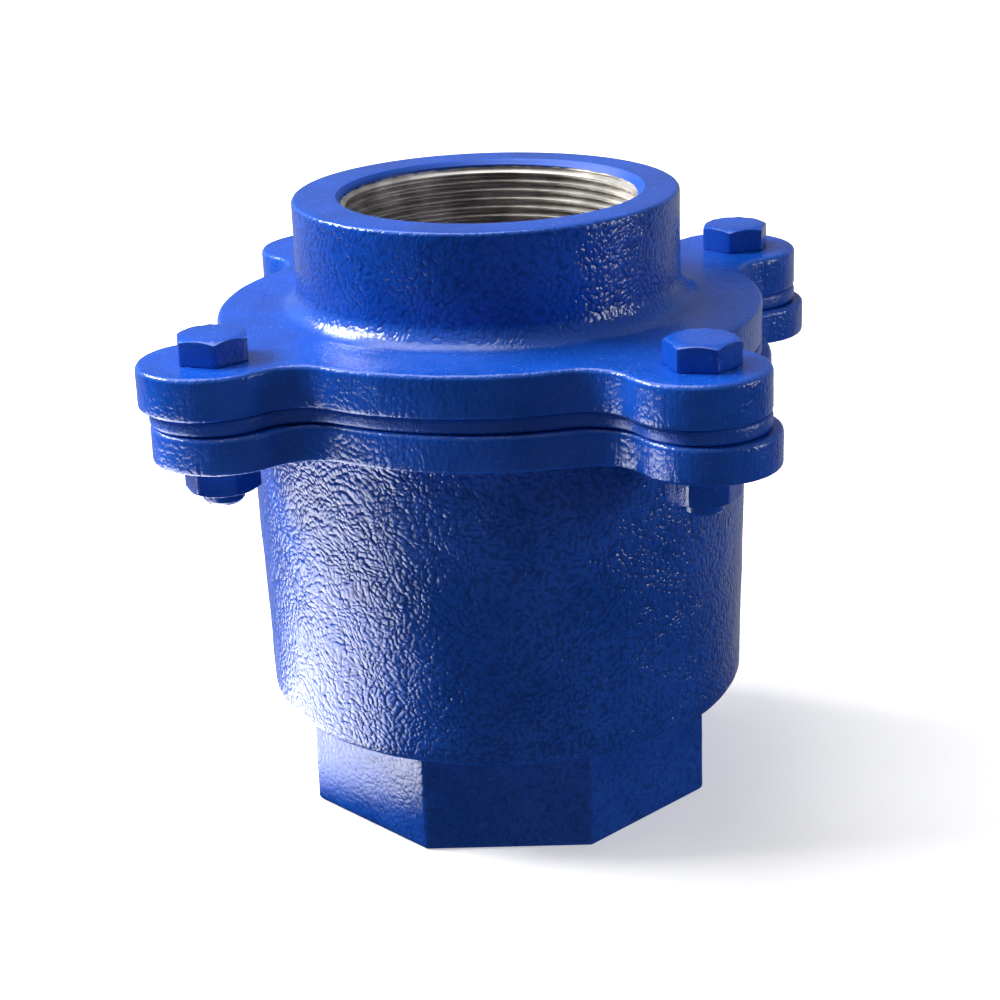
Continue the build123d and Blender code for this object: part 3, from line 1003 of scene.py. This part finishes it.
@dataclass
class Fasteners:
    """The four flange bolts and their nuts, painted over with the castings."""

    shape: FlangeShape
    finish: bpy.types.Material
    hexagon: HexShape = field(default_factory=HexShape)
    shank_r: float = 5.0 * MM
    head_thick: float = 6.4 * MM
    end_chamfer: float = 0.9 * MM
    head_turns: tuple[float, ...] = (40.0, 12.0, 4.0, 42.0)
    nut_lag: float = 17.0

    def around(self, single: Mesh, turns: list[float], name: str, node: str) -> None:
        """Copy one fastener to the four places.

        Args:
            single: One fastener on the Z axis, freed here.
            turns: Turn of each on its own axis, in degrees.
            name: Name of the piece.
            node: The CAD node it stands for.
        """
        data = bpy.data.meshes.new(name)
        single.to_mesh(data)
        single.free()
        group = bmesh.new()
        for (angle, x, y), turn in zip(self.shape.bolt_places(), turns):
            start = len(group.verts)
            group.from_mesh(data)
            group.verts.ensure_lookup_table()
            place = Matrix.Translation((x, y, 0)) @ Matrix.Rotation(angle + math.radians(turn), 4, "Z")
            bmesh.ops.transform(group, matrix=place, verts=group.verts[start:])
        bpy.data.meshes.remove(data)
        roughen(group, lambda spot: 0.07 * MM, 3 * MM)
        piece = to_piece(group, name, self.finish, sharp=28)
        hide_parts(node)

    def build(self) -> None:
        """Model the bolts and the nuts."""
        low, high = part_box("flange_bolts")
        nut_low, nut_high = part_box("flange_nuts")
        seat, end = high[2] - self.head_thick, low[2]
        bolt = bmesh.new()
        self.hexagon.add_to(bolt, seat, high[2], Edge.TOP, 0.0)
        corners = [
            Corner(0.0, end, 0.0, 1.2 * MM),
            Corner(self.shank_r - self.end_chamfer, end, 0.0, 0.5 * MM),
            Corner(self.shank_r, end + self.end_chamfer, 0.3 * MM, 1.5 * MM),
            Corner(self.shank_r, seat + 1 * MM, 0.0, 3 * MM),
            Corner(0.0, seat + 1 * MM, 0.0, 3 * MM),
        ]
        merge_into(bolt, spin_profile(rounded_profile(corners, closed=False), 48, closed=False))
        self.around(bolt, list(self.head_turns), "painted_bolts", "flange_bolts")
        nut = bmesh.new()
        self.hexagon.add_to(nut, nut_low[2], nut_high[2], Edge.BOTTOM, self.shank_r - 0.2 * MM)
        self.around(nut, [turn + self.nut_lag for turn in self.head_turns], "painted_nuts", "flange_nuts")


# ----- Closing spring -----


@dataclass
class ClosingSpring:
    """The coil that pushes the disc back to its seat, and closes up as the disc lifts."""

    finish: bpy.types.Material
    wire_r: float = 0.8 * MM
    turns: float = 5.5
    steps_per_turn: int = 40
    seat_gap: float = 0.05 * MM

    def build(self) -> None:
        """Screw the wire's section up the coil."""
        low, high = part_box("closing_spring")
        mean_r = (high[0] - low[0]) / 2 - self.wire_r
        rise = high[2] - low[2] - 2 * self.wire_r
        mesh = bmesh.new()
        place = Matrix.Translation((mean_r, 0, low[2] + self.wire_r)) @ Matrix.Rotation(math.pi / 2, 4, "X")
        bmesh.ops.create_circle(mesh, cap_ends=True, segments=12, radius=self.wire_r, matrix=place)
        steps = round(self.turns * self.steps_per_turn)
        bmesh.ops.spin(
            mesh,
            geom=list(mesh.verts) + list(mesh.edges) + list(mesh.faces),
            cent=(0, 0, 0),
            axis=(0, 0, 1),
            dvec=(0, 0, rise / steps),
            angle=TURN * self.turns,
            steps=steps,
        )
        bmesh.ops.remove_doubles(mesh, verts=mesh.verts, dist=0.001 * MM)
        piece = to_piece(mesh, "spring_coil", self.finish, sharp=60)
        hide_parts("closing_spring")
        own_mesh(piece)


# ----- Studio -----


@dataclass
class Studio:
    """Pale floor, white surround, soft lights and the camera."""

    unit: float = 48.0 * MM
    camera_back: float = 11.432
    camera_up: float = 5.658
    yaw: float = -0.0008
    pitch: float = 0.3442
    roll: float = -0.038
    focal_share: float = 2.236
    floor_lift: float = 0.45
    card_side: Triple = (-0.978, -0.208, 0.0)
    card_gloss: float = 8.5
    card_soft: float = 3.0
    floor_bounce: float = 0.36
    floor_half: float = 8.0
    aim_height: float = 0.07
    sensor: float = 36.0

    def camera(self) -> None:
        """Stand the camera before the valve, looking a little down."""
        data = bpy.data.cameras.new("view")
        data.sensor_width = self.sensor
        data.lens = self.focal_share * self.sensor
        view = link_object("view", data)
        level = math.cos(self.pitch)
        ahead = Vector((math.sin(self.yaw) * level, math.cos(self.yaw) * level, -math.sin(self.pitch)))
        right = ahead.cross(Vector((0, 0, 1))).normalized()
        turn = Matrix((right, right.cross(ahead), -ahead)).transposed().to_4x4()
        place = Matrix.Translation((0, -self.camera_back * self.unit, self.camera_up * self.unit))
        view.matrix_world = place @ turn @ Matrix.Rotation(self.roll, 4, "Z")
        bpy.context.scene.camera = view

    def light(self, name: str, place: Triple, size: Point, power: float) -> None:
        """Hang a soft light, its size in metres and its power in watts, aimed at the valve's middle."""
        data = bpy.data.lights.new(name, "AREA")
        data.shape = "RECTANGLE"
        data.size, data.size_y = size
        data.energy = power
        lamp = link_object(name, data)
        lamp.location = place
        aim = Vector((0, 0, self.aim_height)) - Vector(place)
        lamp.rotation_euler = aim.to_track_quat("-Z", "Y").to_euler()
        lamp.visible_camera = False

    def surround(self) -> None:
        """Make the room bright behind the valve and dim before it, and white to look at."""
        world = bpy.data.worlds.new("surround")
        bpy.context.scene.world = world
        world.use_nodes = True
        graph = Graph(world.node_tree)
        ray = graph.node("LightPath").outputs["Is Camera Ray"]
        way = graph.node("TexCoord").outputs["Generated"]
        parts = graph.split(way)
        behind = graph.ramp(parts[1], 0.05, 0.75, 0.012, 0.22)
        above = graph.ramp(parts[2], 0.35, 0.95, 0.0, 0.16)
        glow = graph.math("ADD", behind, above)
        lit = graph.node("Background", {"Color": WHITE, "Strength": glow})
        seen = graph.node("Background", {"Color": (0.985, 0.985, 0.985, 1), "Strength": 1.0})
        both = graph.node("MixShader", {0: ray, 1: lit.outputs[0], 2: seen.outputs[0]})
        graph.node("OutputWorld", {"Surface": both.outputs[0]})

    def floor(self) -> None:
        """Lay a wide pale floor under the valve."""
        mesh = bmesh.new()
        bmesh.ops.create_grid(mesh, x_segments=1, y_segments=1, size=self.floor_half)
        data = bpy.data.meshes.new("floor")
        mesh.to_mesh(data)
        mesh.free()
        made = bpy.data.materials.new("pale_floor")
        made.use_nodes = True
        graph = Graph(made.node_tree)
        paper = {"Base Color": (0.96, 0.96, 0.96, 1), "Roughness": 0.9, "Specular IOR Level": 0.1}
        shader = graph.node("BsdfPrincipled", paper)
        spot = graph.node("TexCoord").outputs["Object"]
        away = graph.length(spot)
        glow = graph.ramp(away, 0.25, 0.7, self.floor_lift, 1.0)
        lift = graph.node("Emission", {"Color": WHITE, "Strength": glow})
        shown = graph.node("AddShader", {0: shader.outputs[0], 1: lift.outputs[0]})
        way = graph.vector("NORMALIZE", spot)
        left = graph.node("VectorMath", {0: way, 1: self.card_side}, operation="DOT_PRODUCT")
        near, far = graph.ramp(away, 0.055, 0.08), graph.ramp(away, 0.27, 0.36, 1.0, 0.0)
        reach = graph.times(near, far)
        card = graph.times(graph.ramp(left.outputs["Value"], 0.80, 0.96), reach)
        behind = graph.ramp(graph.split(way)[1], 0.0, 0.7, 0.03, 0.42)
        rays = graph.node("LightPath").outputs
        glossy = rays["Is Glossy Ray"]
        strength = graph.mul_add(glossy, self.card_gloss - self.card_soft, self.card_soft)
        strength = graph.mul_add(card, strength, behind)
        matt = graph.mul_add(glossy, -self.floor_bounce, self.floor_bounce)
        strength = graph.math("ADD", strength, matt)
        spill = graph.node("Emission", {"Color": WHITE, "Strength": strength})
        both = graph.node("MixShader", {0: rays["Is Camera Ray"], 1: spill.outputs[0], 2: shown.outputs[0]})
        graph.node("OutputMaterial", {"Surface": both.outputs[0]})
        data.materials.append(made)
        floor = link_object("floor", data)

    def build(self) -> None:
        """Set up the whole studio."""
        self.camera()
        self.surround()
        self.floor()
        self.light("left_softbox", (-0.66, 0.12, 0.64), (0.55, 0.24), 13.0)
        self.light("right_softbox", (0.90, -0.22, 0.22), (0.16, 0.34), 2.0)
        self.light("overhead", (-0.20, 0.10, 1.0), (0.7, 0.7), 6.5)
        settings = bpy.context.scene.view_settings
        settings.view_transform = "Standard"
        settings.look = "None"


# ----- Finishes for the CAD nodes that stay -----


def dress_nodes() -> None:
    """Give every CAD node that stays a detailed finish."""
    bronze = TurnedMetal("bronze", (0.62, 0.40, 0.17), 0.30, 1.0, (0.25, 0.15, 0.07), 0.7)
    rough_bronze = TurnedMetal("cast_bronze", (0.58, 0.38, 0.18), 0.42, 1.0, (0.20, 0.13, 0.07), 0.8, 2.0)
    steel = TurnedMetal("stainless", (0.62, 0.62, 0.61), 0.24, 1.0, (0.38, 0.37, 0.35), 0.4)
    rubber = Rubber("nitrile", (0.018, 0.018, 0.019), 0.5)
    kinds = (
        (bronze, ("seat_ring", "lower_bush", "upper_bush", "disc", "facing_plate")),
        (rough_bronze, ("upper_guide",)),
        (steel, ("stem", "lock_washer", "stem_nut", "split_pin", "guide_circlip", "spring_cup")),
        (rubber, ("disc_facing", "seat_o_ring")),
    )
    for finish, nodes in kinds:
        material = finish.make()
        for node in nodes:
            for slot in frame["nodes"][node].material_slots:
                slot.material = material
            LOG.info("dressed %s in %s", node, material.name)


def main() -> None:
    """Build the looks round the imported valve."""
    logging.basicConfig(level=logging.INFO, format="%(name)s: %(message)s")
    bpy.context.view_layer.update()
    Studio().build()
    cover_low, cover_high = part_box("cover")
    body_low, body_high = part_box("valve_body")
    shape = FlangeShape(mould_shift=-(cover_low[0] + cover_high[0]) / 2)
    mounts = {mount["name"]: mount for mount in frame["record"]["mounts"]}
    thread_r = mounts["outlet_thread"]["dims"]["r_mm"] * MM
    iron = (0.80, 0.77, 0.72)
    outlet_iron = MachinedIron("outlet_iron", iron, 0.46, 1.0, mouth=cover_high[2]).make()
    inlet_iron = MachinedIron(
        "inlet_iron", iron, 0.46, 1.0, mouth=body_low[2], reach=0.8 * MM, downwards=False
    ).make()
    side = {"band_wrinkle": 0.40, "streak": 0.6}
    body_band = (body_high[2] - ValveBody.flange_thick, body_high[2])
    boss = {"low": body_low[2] + ValveBody.boss_top, "low_wrinkle": 0.45}
    body_enamel = Enamel("body_enamel", BLUE, 0.20, band=body_band, **boss, **side).make()
    cover_band = (cover_low[2], cover_low[2] + Cover.flange_thick)
    cover_enamel = Enamel("cover_enamel", BLUE, 0.18, wrinkle=0.62, band=cover_band, **side).make()
    bolt_enamel = Enamel("bolt_enamel", BLUE, 0.17, wrinkle=0.12, peel=0.25, flat_wrinkle=0.8).make()
    gasket_enamel = Enamel("gasket_enamel", BLUE, 0.26, wrinkle=0.2, peel=0.4).make()
    Cover(shape, cover_enamel, outlet_iron, thread_r).build()
    ValveBody(shape, body_enamel, inlet_iron, thread_r).build()
    outlet_end, inlet_end = cover_high[2] - Cover.port_deep, body_low[2] + ValveBody.port_deep
    Thread(outlet_iron, thread_r, cover_high[2], outlet_end).build("outlet_thread")
    Thread(inlet_iron, thread_r, body_low[2], inlet_end).build("inlet_thread")
    Gasket(shape, gasket_enamel).build()
    Fasteners(shape, bolt_enamel).build()
    wire = TurnedMetal("spring_wire", (0.55, 0.55, 0.56), 0.28, 1.0, (0.30, 0.27, 0.24), 0.4, 3.0).make()
    ClosingSpring(wire).build()
    dress_nodes()


if __name__ == "__main__":
    main()
